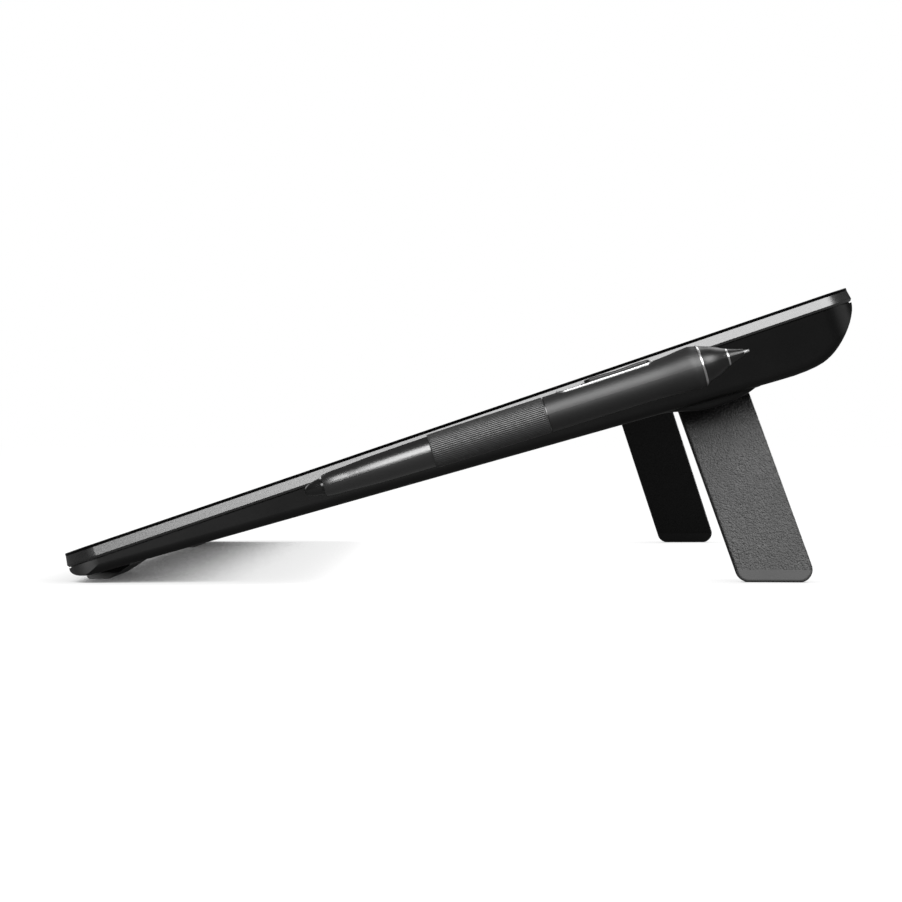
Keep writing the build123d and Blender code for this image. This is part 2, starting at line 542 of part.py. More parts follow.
def loop_section(t, r, d, tongue):
    """Teardrop section at t: round over the pen, closing to a flat tongue that enters the side slot."""
    R = r + d
    # tangent lines from the circle of radius R to the slot lips at (-ped, +-h)
    h = tongue
    px = -(ped + 0.0)
    pts = []
    # angle of the tangent point for a line from P to the circle
    def tang(py, s):
        dist = math.hypot(px, py)
        base = math.atan2(py, px)
        al = math.acos(min(1.0, R / dist))
        return base - s * al
    a0 = tang(h, 1)
    a1 = tang(-h, -1)
    return a0, a1, R, px, h


def loop_solid(t0, t1, d, h, reach):
    secs = []
    for t, r in ((t0, lo_r0), (t1, lo_r1)):
        a0, a1, R, px, hh = loop_section(t, r, d, h)
        p0 = Vector(R * math.cos(a0), R * math.sin(a0))
        p1 = Vector(R * math.cos(a1), R * math.sin(a1))
        arc = ThreePointArc((p0.X, p0.Y), (R, 0), (p1.X, p1.Y))
        w = [arc, Line((p1.X, p1.Y), (px, -hh)), Line((px, -hh), (px - reach, -hh)), Line((px - reach, -hh), (px - reach, hh)),
             Line((px - reach, hh), (px, hh)), Line((px, hh), (p0.X, p0.Y))]
        f = make_face(w)
        secs.append(Pos(0, 0, t) * f)
    return loft(secs, ruled=True)


R_probe = lo_r1 + LOOP_THICK
if ped < R_probe + 0.2:
    print("loop reaches the side face", ped, R_probe)
TONGUE = 0.95
outer_l = loop_solid(LOOP_T0, LOOP_T1, LOOP_THICK, TONGUE / 2 + 0.0, 3.2)
inner_l = loop_solid(LOOP_T0 - 0.0, LOOP_T1 + 0.0, 0.0, 0.035, 0.0001) if False else None


def drop(t0, t1, d, h):
    secs = []
    for t, r in ((t0, lo_r0), (t1, lo_r1)):
        a0, a1, R, px, hh = loop_section(t, r, d, h)
        p0 = Vector(R * math.cos(a0), R * math.sin(a0))
        p1 = Vector(R * math.cos(a1), R * math.sin(a1))
        arc = ThreePointArc((p0.X, p0.Y), (R, 0), (p1.X, p1.Y))
        f = make_face([arc, Line((p1.X, p1.Y), (px, 0)), Line((px, 0), (p0.X, p0.Y))])
        secs.append(Pos(0, 0, t) * f)
    return loft(secs, ruled=True)


try:
    hole_l = drop(LOOP_T0 - 0.01, LOOP_T1 + 0.01, 0.0, 0.0001)
    loop = outer_l - hole_l
except Exception as ex:
    print("loop hole", ex)
    loop = outer_l
loop_world = PEN_LOC * loop
slot_cut = PEN_LOC * (Pos(-ped - 4.0, 0, (LOOP_T0 + LOOP_T1) / 2) * Box(10.0, TONGUE + 0.3, LOOP_T1 - LOOP_T0 + 0.6))
slot_cut = slot_cut & bx(side_x - WALL - 1.2, side_x + 6, 0, 300, SHELL_TOP - 1.2, 20)
put("pen_loop", loop_world)
shell = shell - slot_cut
band = band - slot_cut
clamp_in = PEN_LOC * (Pos(-ped - WALL - 2.0, 0, (LOOP_T0 + LOOP_T1) / 2) * Box(1.6, 3.4, LOOP_T1 - LOOP_T0 + 6))
clamp_in = clamp_in - loop_world
clamp_in = clamp_in & inner_prism
band = band - (PEN_LOC * (Pos(-ped - WALL - 2.0, 0, (LOOP_T0 + LOOP_T1) / 2) * Box(1.9, 3.7, LOOP_T1 - LOOP_T0 + 7)))
put("pen_loop_anchor", clamp_in)

put("bezel_frame", band)
put("rear_housing", shell)

PEN_NODES = [n for n, (s, b) in OUT.items() if n.startswith("pen_") and n not in ("pen_loop", "pen_loop_anchor")]
for n in PEN_NODES:
    s, b = OUT[n]
    OUT[n] = (PEN_LOC * s, b)

# -------------------------------------------------------- place on the desk
TO_DESK = Pos(0, 0, FRONT_LIFT) * Rot(TILT, 0, 0)
placed = {n: TO_DESK * s for n, (s, b) in OUT.items()}
lo = [1e9] * 3
hi = [-1e9] * 3
for n, s in placed.items():
    bb = s.bounding_box()
    for i, (a, b) in enumerate(((bb.min.X, bb.max.X), (bb.min.Y, bb.max.Y), (bb.min.Z, bb.max.Z))):
        lo[i] = min(lo[i], a)
        hi[i] = max(hi[i], b)
shift = Vector(-(lo[0] + hi[0]) / 2, -(lo[1] + hi[1]) / 2, -lo[2])
print("size", [round(h - l, 3) for l, h in zip(lo, hi)], "shift", [round(c, 4) for c in shift])
for n, s in placed.items():
    export_step(Pos(shift.X, shift.Y, shift.Z) * s, "parts/%s.step" % n)
    print(n, OUT[n][1], len(s.solids()), round(s.volume, 1))


def world(x, u, v):
    """Row-frame position of a tablet-frame point, mm."""
    y = u * math.cos(th) - (-v) * math.sin(th)
    z = FRONT_LIFT + u * math.sin(th) + (-v) * math.cos(th)
    return (round(x + shift.X, 3), round(y + shift.Y, 3), round(z + shift.Z, 3))


print("hinge right", world(HINGE_X, LEG_U, HINGE_V), "left", world(-HINGE_X, LEG_U, HINGE_V))
print("pen tail", world(PEN_X, PEN_TAIL_U, PEN_TAIL_V), "pen tip", world(PEN_X, PEN_TIP_U, PEN_TIP_V))
mid = (RK0 + RK1) / 2 / PEN_L
print("rocker centre", world(PEN_X, PEN_TAIL_U + (PEN_TIP_U - PEN_TAIL_U) * mid, PEN_TAIL_V + (PEN_TIP_V - PEN_TAIL_V) * mid))
print("port", world(PORT_X, 284, PORT_V), "lock", world(SL_X, 284, SL_V), "button", world(BTN_X, 283, BTN_V))
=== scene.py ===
import bpy
import bmesh
import json
import math
from mathutils import Matrix, Vector


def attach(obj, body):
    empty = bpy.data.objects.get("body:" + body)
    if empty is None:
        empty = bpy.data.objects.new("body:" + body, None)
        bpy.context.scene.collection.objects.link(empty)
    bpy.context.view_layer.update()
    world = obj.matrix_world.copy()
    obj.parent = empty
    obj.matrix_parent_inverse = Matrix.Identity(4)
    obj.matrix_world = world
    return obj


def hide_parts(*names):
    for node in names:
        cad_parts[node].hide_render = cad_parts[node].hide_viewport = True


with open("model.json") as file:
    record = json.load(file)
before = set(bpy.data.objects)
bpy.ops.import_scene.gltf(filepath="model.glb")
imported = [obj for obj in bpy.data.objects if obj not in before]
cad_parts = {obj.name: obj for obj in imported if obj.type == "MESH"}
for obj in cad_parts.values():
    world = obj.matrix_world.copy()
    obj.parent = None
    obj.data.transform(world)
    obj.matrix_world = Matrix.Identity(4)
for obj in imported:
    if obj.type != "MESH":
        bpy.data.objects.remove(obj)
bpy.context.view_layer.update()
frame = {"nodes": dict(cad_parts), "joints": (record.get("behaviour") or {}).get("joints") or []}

nodes = frame["nodes"]
joints = {j["name"]: j for j in frame["joints"]}
scene = bpy.context.scene

# ------------------------------------------------------------------ frames
TILT = math.radians(18.8)
R_TAB = Matrix.Rotation(TILT, 4, "X")
hinge = Vector(joints["leg_right_fold"]["pos_m"])
# origin of the tablet frame: front edge of the glass face, on the centre line
ORG = hinge - (R_TAB.to_3x3() @ Vector((0.185, 0.22995, -0.0176)))
M_TAB = Matrix.Translation(ORG) @ R_TAB
PEN_PITCH = math.atan2(-(9.67 - 6.54), 244.3 - 86.8)
M_PEN = M_TAB @ Matrix.Translation(Vector((0.2189, 0.0868, -0.00654))) @ Matrix.Rotation(PEN_PITCH, 4, "X") \
    @ Matrix.Rotation(-math.pi / 2, 4, "X")
MM = Matrix.Scale(0.001, 4)

# ---------------------------------------------------------------- materials


class Mat:
    """A node-based material on one Principled shader."""

    def __init__(self, name):
        self.m = bpy.data.materials.new(name)
        self.m.use_nodes = True
        self.nt = self.m.node_tree
        self.nt.nodes.clear()
        self.out = self.nt.nodes.new("ShaderNodeOutputMaterial")
        self.p = self.nt.nodes.new("ShaderNodeBsdfPrincipled")
        self.nt.links.new(self.p.outputs["BSDF"], self.out.inputs["Surface"])
        self.tc = self.nt.nodes.new("ShaderNodeTexCoord")

    def node(self, kind, **kw):
        n = self.nt.nodes.new(kind)
        for k, v in kw.items():
            setattr(n, k, v)
        return n

    def link(self, a, b):
        self.nt.links.new(a, b)

    def set(self, **kw):
        for k, v in kw.items():
            self.p.inputs[k.replace("_", " ")].default_value = v
        return self

    def coords(self, rot=(0, 0, 0), scale=(1, 1, 1), loc=(0, 0, 0)):
        mp = self.node("ShaderNodeMapping")
        mp.inputs["Location"].default_value = loc
        mp.inputs["Rotation"].default_value = rot
        mp.inputs["Scale"].default_value = scale
        self.link(self.tc.outputs["Object"], mp.inputs["Vector"])
        return mp.outputs["Vector"]

    def noise(self, vec, scale, detail=3.0, rough=0.55):
        n = self.node("ShaderNodeTexNoise")
        n.inputs["Scale"].default_value = scale
        n.inputs["Detail"].default_value = detail
        n.inputs["Roughness"].default_value = rough
        self.link(vec, n.inputs["Vector"])
        return n.outputs["Fac"]

    def voronoi(self, vec, scale, feature="F1"):
        n = self.node("ShaderNodeTexVoronoi", feature=feature)
        n.inputs["Scale"].default_value = scale
        self.link(vec, n.inputs["Vector"])
        return n.outputs["Distance"]

    def ramp(self, fac, stops):
        r = self.node("ShaderNodeValToRGB")
        els = r.color_ramp.elements
        els[0].position, els[0].color = stops[0][0], (*stops[0][1], 1)
        els[1].position, els[1].color = stops[-1][0], (*stops[-1][1], 1)
        for pos, col in stops[1:-1]:
            e = els.new(pos)
            e.color = (*col, 1)
        self.link(fac, r.inputs["Fac"])
        return r.outputs["Color"]

    def range(self, fac, a, b, lo=0.0, hi=1.0):
        r = self.node("ShaderNodeMapRange")
        r.inputs["From Min"].default_value = lo
        r.inputs["From Max"].default_value = hi
        r.inputs["To Min"].default_value = a
        r.inputs["To Max"].default_value = b
        self.link(fac, r.inputs["Value"])
        return r.outputs["Result"]

    def math(self, op, a, b):
        n = self.node("ShaderNodeMath", operation=op)
        for i, v in enumerate((a, b)):
            if isinstance(v, (int, float)):
                n.inputs[i].default_value = v
            else:
                self.link(v, n.inputs[i])
        return n.outputs["Value"]

    def bump(self, height, dist, strength=1.0, prev=None):
        b = self.node("ShaderNodeBump")
        b.inputs["Strength"].default_value = strength
        b.inputs["Distance"].default_value = dist
        self.link(height, b.inputs["Height"])
        if prev is not None:
            self.link(prev, b.inputs["Normal"])
        return b.outputs["Normal"]

    def colour(self, sock):
        self.link(sock, self.p.inputs["Base Color"])

    def rough(self, sock):
        self.link(sock, self.p.inputs["Roughness"])

    def normal(self, sock):
        self.link(sock, self.p.inputs["Normal"])


def grey(v):
    return (v, v, v)


def grained(name, c0, c1, r0, r1, grain, bump, wear=600.0, metallic=0.0, spec=0.5, tint=(1, 1, 1), coat=0.0, coat_r=0.1, sheen=0.0, ior=1.5,
            stretch=(1, 1, 1), rot=(0, 0, 0), big=60.0, voro=None):
    """Colour, roughness and bump all vary: a fine grain over slow unevenness."""
    m = Mat(name)
    v = m.coords(scale=stretch, rot=rot)
    fine = m.noise(v, grain, 2.0, 0.6)
    slow = m.noise(m.coords(), big, 4.0, 0.6)
    mix = m.math("ADD", m.math("MULTIPLY", fine, 0.6), m.math("MULTIPLY", slow, 0.4))
    m.colour(m.ramp(mix, [(0.3, tuple(c0 * t for t in tint)), (0.7, tuple(c1 * t for t in tint))]))
    m.rough(m.range(mix, r0, r1, 0.3, 0.7))
    nrm = m.bump(fine, bump, 1.0)
    if voro:
        nrm = m.bump(m.voronoi(v, voro[0]), voro[1], 1.0, nrm)
    m.normal(nrm)
    m.set(Metallic=metallic, Coat_Weight=coat, Coat_Roughness=coat_r, Sheen_Weight=sheen)
    m.p.inputs["Specular IOR Level"].default_value = spec
    m.p.inputs["IOR"].default_value = ior
    return m.m


def give(names, mat):
    for n in ([names] if isinstance(names, str) else names):
        o = nodes[n]
        if not o.material_slots:
            o.data.materials.append(mat)
        for s in o.material_slots:
            s.material = mat


SHELL = grained("shell_plastic", 0.0032, 0.0052, 0.36, 0.42, 2600.0, 0.000008, spec=0.28, voro=(3200.0, 0.000006))
RUBBER = grained("rubber", 0.020, 0.032, 0.62, 0.78, 1900.0, 0.00003, spec=0.35)
RUBBER_LEG = grained("rubber_leg_end", 0.030, 0.040, 0.55, 0.66, 1900.0, 0.00002, spec=0.45)
LEG = grained("leg_metal", 0.002, 0.026, 0.36, 0.62, 1150.0, 0.00018, spec=0.44, metallic=0.0, voro=(1700.0, 0.00012))
STEEL = grained("steel_sheet", 0.42, 0.5, 0.28, 0.4, 900.0, 0.00001, metallic=1.0, stretch=(1, 0.05, 1))
PORT = grained("port_metal", 0.16, 0.22, 0.30, 0.42, 700.0, 0.000004, metallic=1.0)
NICKEL = grained("nickel", 0.55, 0.62, 0.14, 0.24, 700.0, 0.000006, metallic=1.0)
BLACKSTEEL = grained("black_screw", 0.03, 0.05, 0.32, 0.45, 1500.0, 0.00001, metallic=1.0)
BOARD = grained("board_green", 0.02, 0.05, 0.3, 0.45, 900.0, 0.00002, tint=(0.35, 1.0, 0.5))
PLASTIC = grained("inner_plastic", 0.02, 0.03, 0.5, 0.6, 1500.0, 0.00002)
WHITEP = grained("light_guide", 0.7, 0.8, 0.4, 0.5, 900.0, 0.00001)
AMBER = grained("amber_film", 0.3, 0.4, 0.2, 0.3, 900.0, 0.00001, tint=(1.0, 0.55, 0.15))
FERRITE = grained("ferrite", 0.05, 0.08, 0.6, 0.7, 1500.0, 0.00003)
NIB = grained("nib_plastic", 0.62, 0.72, 0.3, 0.42, 2200.0, 0.00001, spec=0.5)
FOAM = grained("black_foam", 0.01, 0.02, 0.8, 0.9, 2500.0, 0.00005)
SOFT = grained("soft_touch_grip", 0.0035, 0.0055, 0.48, 0.52, 5200.0, 0.000003, spec=0.75, sheen=0.0, big=90.0)
GLOSSP = grained("pen_gloss", 0.003, 0.005, 0.27, 0.30, 900.0, 0.0000002, spec=1.0, big=35.0, ior=1.64)
SATINP = grained("pen_satin", 0.003, 0.005, 0.30, 0.36, 3800.0, 0.000002, spec=0.6)
RING = grained("bright_ring", 0.62, 0.70, 0.26, 0.34, 1600.0, 0.0000004, metallic=1.0)
NIBP = grained("nib_point", 0.16, 0.22, 0.22, 0.3, 2200.0, 0.000001, spec=1.0)
ERASER = grained("eraser_plastic", 0.005, 0.008, 0.18, 0.24, 3000.0, 0.000003, spec=0.6)
BUTTON = grained("button_plastic", 0.02, 0.028, 0.4, 0.48, 2600.0, 0.00002)
PIPE = grained("light_pipe", 0.5, 0.6, 0.15, 0.22, 1500.0, 0.000005)

# side band: grained dark satin finish, the grain drawn out along the sides
BAND = Mat("satin_band")
bv = BAND.coords(rot=(-TILT, 0, 0), scale=(1.0, 1.0, 2.2))
b_fine = BAND.noise(bv, 2600.0, 2.0, 0.65)
b_mid = BAND.noise(BAND.coords(rot=(-TILT, 0, 0)), 700.0, 3.0, 0.6)
b_mix = BAND.math("ADD", BAND.math("MULTIPLY", b_fine, 0.65), BAND.math("MULTIPLY", b_mid, 0.35))
BAND.colour(BAND.ramp(b_mix, [(0.3, grey(0.008)), (0.7, grey(0.02))]))
BAND.rough(BAND.range(b_mix, 0.24, 0.32, 0.3, 0.7))
BAND.normal(BAND.bump(b_fine, 0.000008, 1.0))
BAND.p.inputs["Specular IOR Level"].default_value = 1.0

# cover glass: etched, with the picture area a shade lighter than its black border
GLASS = Mat("etched_glass")
gm = Matrix.Translation(Vector((0, 0, 0)))
inv = M_TAB.inverted()
gmap = GLASS.node("ShaderNodeMapping")
gmap.vector_type = "POINT"
gmap.inputs["Rotation"].default_value = (-TILT, 0, 0)
t = inv.to_translation()
gmap.inputs["Location"].default_value = t
GLASS.link(GLASS.tc.outputs["Object"], gmap.inputs["Vector"])
sep = GLASS.node("ShaderNodeSeparateXYZ")
GLASS.link(gmap.outputs["Vector"], sep.inputs["Vector"])
ACT_W, ACT_D, ACT_U = 0.3442, 0.1936, 0.1435


def inside(mat, val, centre, half, soft=0.00015):
    d = mat.math("ABSOLUTE", mat.math("SUBTRACT", val, centre), 0.0)
    return mat.range(d, 1.0, 0.0, half - soft, half + soft)


mask = GLASS.math("MULTIPLY", inside(GLASS, sep.outputs["X"], 0.0, ACT_W / 2), inside(GLASS, sep.outputs["Y"], ACT_U, ACT_D / 2))
g_face = GLASS.range(sep.outputs["Z"], 0.0, 1.0, -0.0003, -0.0001)       # 1 on the face, 0 on the ground edge
g_fine = GLASS.noise(GLASS.coords(), 5200.0, 1.0, 0.5)
g_slow = GLASS.noise(GLASS.coords(), 14.0, 3.0, 0.5)
edge_c = GLASS.ramp(g_fine, [(0.3, (0.010, 0.0105, 0.011)), (0.7, (0.018, 0.0185, 0.019))])
face_c = GLASS.node("ShaderNodeMix", data_type="RGBA")
GLASS.link(mask, face_c.inputs["Factor"])
GLASS.link(GLASS.ramp(g_slow, [(0.35, (0.0052, 0.0054, 0.0058)), (0.65, (0.0072, 0.0074, 0.0078))]), face_c.inputs[6])
GLASS.link(GLASS.ramp(g_slow, [(0.35, (0.0150, 0.0160, 0.0190)), (0.65, (0.0185, 0.0195, 0.0225))]), face_c.inputs[7])
all_c = GLASS.node("ShaderNodeMix", data_type="RGBA")
GLASS.link(g_face, all_c.inputs["Factor"])
GLASS.link(edge_c, all_c.inputs[6])
GLASS.link(face_c.outputs[2], all_c.inputs[7])
GLASS.colour(all_c.outputs[2])
GLASS.rough(GLASS.math("ADD", GLASS.range(g_face, 0.95, 0.0), GLASS.math("MULTIPLY", g_face, GLASS.range(g_fine, 0.24, 0.34, 0.3, 0.7))))
GLASS.normal(GLASS.bump(g_fine, 0.000004, 1.0))
GLASS.p.inputs["Specular IOR Level"].default_value = 0.45

give("front_glass", GLASS.m)
give("bezel_frame", BAND.m)
give(["rear_housing", "leg_hinge_cover_left", "leg_hinge_cover_right"], SHELL)
give(["front_feet", "rear_feet"], RUBBER)
give(["leg_foot_left", "leg_foot_right"], RUBBER_LEG)
give(["leg_left", "leg_right"], LEG)
give(["shield_plate", "leg_hinge_bracket_left", "leg_hinge_bracket_right", "lock_slot_plate"], STEEL)
give(["hinge_washers", "leg_hinge_pin_left", "leg_hinge_pin_right", "nib_remover"], NICKEL)
give(["port_socket"], PORT)
give("housing_screws", BLACKSTEEL)
give(["sensor_board", "main_board", "port_board", "button_board", "pen_circuit"], BOARD)
give(["panel_carrier", "nib_holder", "pen_loop_anchor"], PLASTIC)
give("backlight_unit", WHITEP)
give("panel_cable", AMBER)
give("pen_coil", FERRITE)
give("spare_nibs", NIB)
give("pen_nib", NIBP)
give(["glass_gasket", "lcd_panel"], FOAM)
give("pen_grip", SOFT)
give("pen_barrel", GLOSSP)
give(["pen_nose_cone", "pen_nose_tip", "pen_side_switch", "pen_switch_inlay"], SATINP)
give(["pen_ring", "pen_nose_ring", "pen_switch_bezel"], RING)
give("pen_eraser", ERASER)
give("power_button", BUTTON)
give("power_light", PIPE)

# ---------------------------------------------------------- elastic pen loop
WEB = Mat("elastic_webbing")
w_obj = WEB.coords()
w_f = WEB.noise(w_obj, 3600.0, 2.0, 0.6)
w_s = WEB.noise(w_obj, 240.0, 3.0, 0.6)
w_rib_valley_shade = WEB.node("ShaderNodeAttribute", attribute_name="rib")
w_mix = WEB.math("ADD", WEB.math("MULTIPLY", w_rib_valley_shade.outputs["Fac"], 0.62), WEB.math("ADD", WEB.math("MULTIPLY", w_f, 0.24), WEB.math("MULTIPLY", w_s, 0.14)))
# colour from the rib weight: the valleys between the ribs are painted black as shade, the crests stay a dark grey
WEB.colour(WEB.ramp(w_mix, [(0.25, grey(0.0005)), (0.55, grey(0.004)), (0.9, grey(0.034))]))
WEB.rough(WEB.range(w_mix, 0.95, 0.28, 0.32, 0.72))
WEB.normal(WEB.bump(w_f, 0.000012, 0.8))
WEB.p.inputs["Specular IOR Level"].default_value = 1.0

LOOP_T0, LOOP_T1 = 45.0, 85.7
PED = 218.9 - 210.7


def pen_r(t):
    tab = [(44.0, 5.285), (60, 5.44), (72, 5.54), (86.0, 5.625)]
    for (a, ra), (b, rb) in zip(tab, tab[1:]):
        if t <= b:
            return ra + (rb - ra) * (t - a) / (b - a)
    return tab[-1][1]


def loop_line(t, off, tongue):
    """Points of the loop's cross-section (pen frame, mm), from the upper lip of the slot round the pen to the lower lip."""
    R = pen_r(t) + 0.17 + off
    px, h = -PED, tongue
    dist = math.hypot(px, h)
    al = math.acos(min(1.0, R / dist))
    base_u = math.atan2(h, px)
    base_l = math.atan2(-h, px)
    a0, a1 = base_u - al, base_l + al
    return R, a0, a1


def make_loop():
    me = bpy.data.meshes.new("elastic_pen_loop")
    bm = bmesh.new()
    n_arc, n_tan, n_in, n_t = 520, 40, 12, 132
    pitch = 0.665
    rib_tone_and_valley_shade = []
    grid_o, grid_i = [], []
    for j in range(n_t + 1):
        f = j / n_t
        t = LOOP_T0 + (LOOP_T1 - LOOP_T0) * f
        R, a0, a1 = loop_line(t, 0.0, 0.30)
        # walk: slot -> tangent -> arc -> tangent -> slot, as a path of (x, y, nx, ny, s)
        path = []
        p0 = Vector((R * math.cos(a0), R * math.sin(a0)))
        p1 = Vector((R * math.cos(a1), R * math.sin(a1)))
        up, lo = Vector((-PED, 0.30)), Vector((-PED, -0.30))
        inn_u, inn_l = Vector((-PED - 2.4, 0.03)), Vector((-PED - 2.4, -0.03))
        def seg(a, b, n, nrm=None):
            d = (b - a).normalized()
            for i in range(n):
                q = a.lerp(b, i / n)
                path.append((q, nrm))
        nu = Vector((math.cos(a0), math.sin(a0)))
        nl = Vector((math.cos(a1), math.sin(a1)))
        seg(inn_u, up, n_in, Vector((0, 1)))
        seg(up, p0, n_tan, nu)
        for i in range(n_arc):
            a = a0 + (a1 - a0) * i / n_arc
            path.append((Vector((R * math.cos(a), R * math.sin(a))), Vector((math.cos(a), math.sin(a)))))
        seg(p1, lo, n_tan, nl)
        seg(lo, inn_l, n_in, Vector((0, -1)))
        path.append((inn_l, Vector((0, -1))))
        s = 0.0
        ro, ri = [], []
        prev = None
        mid = len(path) // 2
        lens = [0.0]
        for k in range(1, len(path)):
            lens.append(lens[-1] + (path[k][0] - path[k - 1][0]).length)
        for k, (q, nrm) in enumerate(path):
            s = lens[k] - lens[mid]
            inside_slot = k < n_in or k > len(path) - n_in - 2
            ph = math.cos(2 * math.pi * s / pitch)
            # each rib is a twisted yarn: short slanting strands along it
            strand = 0.5 + 0.5 * math.cos(2 * math.pi * (t / 0.62 + 0.5 * round(s / pitch)))
            rib = max(0.0, 0.5 + 0.5 * ph) ** 0.7
            edge = min(1.0, min(f, 1 - f) * n_t / 2.2)
            h = 0.28 + edge * (0.10 * rib + 0.03 * strand * rib) + (1 - edge) * 0.05
            if inside_slot:
                h = 0.24
            wob = 0.012 * math.sin(t * 1.7 + s * 0.9)
            o = q + nrm * (h + wob)
            i_ = q + nrm * 0.02
            vo = bm.verts.new((o.x, o.y, t))
            vi = bm.verts.new((i_.x, i_.y, t))
            # colour weight: low in the valleys between ribs as painted shade, with the strand pattern on top, and lower
            # towards both ends of the loop; the inner face gets a flat low value
            rib_tone_and_valley_shade.append(rib * (0.75 + 0.25 * strand) * (0.5 + 0.5 * edge))
            rib_tone_and_valley_shade.append(0.1)
            ro.append(vo)
            ri.append(vi)
        grid_o.append(ro)
        grid_i.append(ri)
    n = len(grid_o[0])
    for j in range(n_t):
        for k in range(n - 1):
            bm.faces.new((grid_o[j][k], grid_o[j + 1][k], grid_o[j + 1][k + 1], grid_o[j][k + 1]))
            bm.faces.new((grid_i[j][k], grid_i[j][k + 1], grid_i[j + 1][k + 1], grid_i[j + 1][k]))
    for j in (0, n_t):
        for k in range(n - 1):
            f4 = (grid_o[j][k], grid_o[j][k + 1], grid_i[j][k + 1], grid_i[j][k])
            bm.faces.new(f4 if j == 0 else f4[::-1])
    for k in (0, n - 1):
        for j in range(n_t):
            f4 = (grid_o[j][k], grid_i[j][k], grid_i[j + 1][k], grid_o[j + 1][k])
            bm.faces.new(f4 if k == 0 else f4[::-1])
    bm.normal_update()
    bmesh.ops.recalc_face_normals(bm, faces=bm.faces)
    bm.verts.index_update()
    bm.to_mesh(me)
    bm.free()
    at = me.attributes.new("rib", "FLOAT", "POINT")
    at.data.foreach_set("value", rib_tone_and_valley_shade)
    me.transform(M_PEN @ MM)
    for p in me.polygons:
        p.use_smooth = True
    o = bpy.data.objects.new("elastic_pen_loop", me)
    scene.collection.objects.link(o)
    me.materials.append(WEB.m)
    return o


loop = make_loop()
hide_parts("pen_loop")
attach(loop, "tablet")

# ------------------------------------------- rounded bright bead round the switch


def make_bead():
    """A fine half-round bead that runs round the switch opening, lying on the grip."""
    t0, t1, hw, rad = 91.5, 125.0, 2.5, 2.45
    tab = [(86.0, 6.30), (101.0, 6.38), (117.0, 6.50), (125.5, 6.68)]

    def rg(t):
        for (a, ra), (b, rb) in zip(tab, tab[1:]):
            if t <= b:
                return ra + (rb - ra) * (t - a) / (b - a)
        return tab[-1][1]

    line = []
    n_side, n_end = 90, 40
    for i in range(n_side):
        line.append((hw, t0 + rad + (t1 - t0 - 2 * rad) * i / n_side))
    for i in range(n_end):
        a = math.pi * i / n_end
        line.append((hw * math.cos(a), t1 - rad + rad * math.sin(a)))
    for i in range(n_side):
        line.append((-hw, t1 - rad - (t1 - t0 - 2 * rad) * i / n_side))
    for i in range(n_end):
        a = math.pi + math.pi * i / n_end
        line.append((hw * math.cos(a), t0 + rad + rad * math.sin(a)))
    bm = bmesh.new()
    rings = []
    n = len(line)
    pts = [Vector((x, -math.sqrt(rg(t) ** 2 - x * x), t)) for x, t in line]
    for i, q in enumerate(pts):
        tan = (pts[(i + 1) % n] - pts[i - 1]).normalized()
        up = Vector((q.x, q.y, 0)).normalized()
        side = tan.cross(up).normalized()
        up = side.cross(tan).normalized()
        ring = []
        for k in range(14):
            a = 2 * math.pi * k / 14
            ring.append(bm.verts.new(q + side * (0.36 * math.cos(a)) + up * (0.26 * math.sin(a))))
        rings.append(ring)
    for i in range(n):
        for k in range(14):
            bm.faces.new((rings[i][k], rings[i][(k + 1) % 14], rings[(i + 1) % n][(k + 1) % 14], rings[(i + 1) % n][k]))
    bmesh.ops.recalc_face_normals(bm, faces=bm.faces)
    me = bpy.data.meshes.new("switch_bead")
    bm.to_mesh(me)
    bm.free()
    me.transform(M_PEN @ MM)
    for p in me.polygons:
        p.use_smooth = True
    me.materials.append(RING)
    o = bpy.data.objects.new("switch_bead", me)
    scene.collection.objects.link(o)
    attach(o, "pen")
    return o


make_bead()

# ------------------------------------------------------------ floor and light
# pale floor: glows evenly white, with a soft contact shadow painted into its glow where something stands close over it
FLOOR = Mat("studio_floor")
f_n = FLOOR.noise(FLOOR.coords(), 3.0, 2.0, 0.5)
ao = FLOOR.node("ShaderNodeAmbientOcclusion")
ao.samples = 6
ao.inputs["Distance"].default_value = 0.024
# painted shadow: the glow is dimmed through an ambient-occlusion ramp near whatever stands over the floor
floor_painted_shadow = FLOOR.ramp(ao.outputs["AO"], [(0.0, grey(0.01)), (0.167, grey(0.22)), (0.333, grey(0.78)), (0.50, grey(0.83)), (0.667, grey(0.85)), (0.833, grey(0.88)), (1.0, grey(1.0))])
# the camera sees the white sweep; the object is lit by a much dimmer one
f_lp = FLOOR.node("ShaderNodeLightPath")
f_em = FLOOR.range(f_lp.outputs["Is Camera Ray"], 0.11, 1.0)
FLOOR.colour(FLOOR.ramp(f_n, [(0.3, (0.05, 0.05, 0.05)), (0.7, (0.06, 0.06, 0.06))]))
FLOOR.set(Roughness=1.0)
FLOOR.p.inputs["Specular IOR Level"].default_value = 0.0
FLOOR.p.inputs["Emission Color"].default_value = (1, 1, 1, 1)
FLOOR.link(FLOOR.math("MULTIPLY", floor_painted_shadow, f_em), FLOOR.p.inputs["Emission Strength"])
me = bpy.data.meshes.new("studio_floor")
bm = bmesh.new()
bmesh.ops.create_grid(bm, x_segments=8, y_segments=8, size=60.0)
bm.to_mesh(me)
bm.free()
me.materials.append(FLOOR.m)
floor = bpy.data.objects.new("studio_floor", me)
scene.collection.objects.link(floor)

